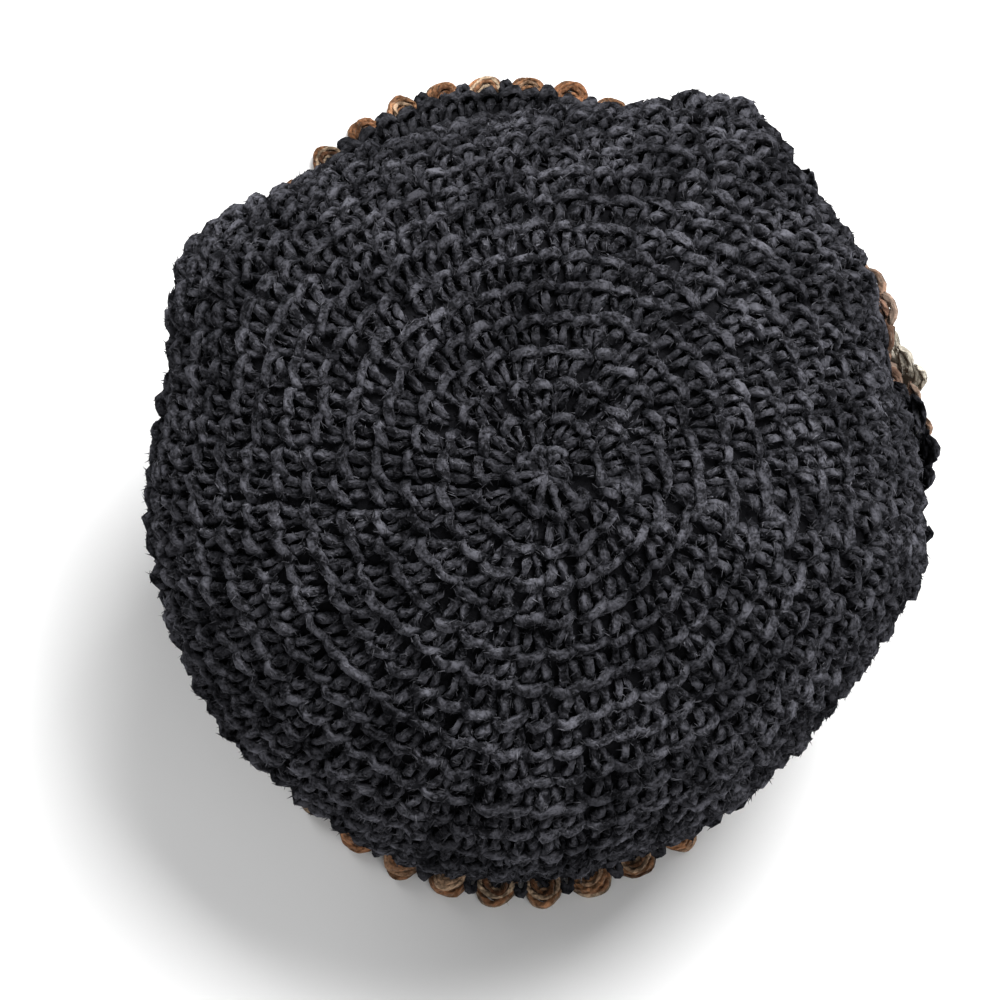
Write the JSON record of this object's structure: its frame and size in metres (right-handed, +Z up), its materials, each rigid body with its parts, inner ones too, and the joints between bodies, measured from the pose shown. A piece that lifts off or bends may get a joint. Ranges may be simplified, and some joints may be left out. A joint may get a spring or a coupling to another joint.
{
  "type": "crochet cloche hat",
  "caption": "Slouchy crocheted wool cloche hat with a short flared brim, a scalloped shell edging and a layered crochet flower on the wearer's right side.",
  "frame": {"origin": "on the ground under the middle of the hat's box, as it stands on its rim", "axes": "+Z up, -Y towards the front of the hat, +Y towards the back, -X towards the wearer's right, where the flower is"},
  "size_m": [0.2386, 0.313, 0.1777],
  "materials": {
    "black_wool": "fuzzy crocheted wool",
    "brown_wool": "fuzzy crocheted wool",
    "tan_wool": "fuzzy crocheted wool",
    "cream_wool": "fuzzy crocheted wool"
  },
  "bodies": {
    "root": {"crown": "black_wool", "brim": "black_wool", "shell_edging": "brown_wool", "flower_outer_petals": "black_wool", "flower_middle_petals": "tan_wool", "flower_inner_petals": "cream_wool", "flower_button": "brown_wool"}
  },
  "joints": []
}
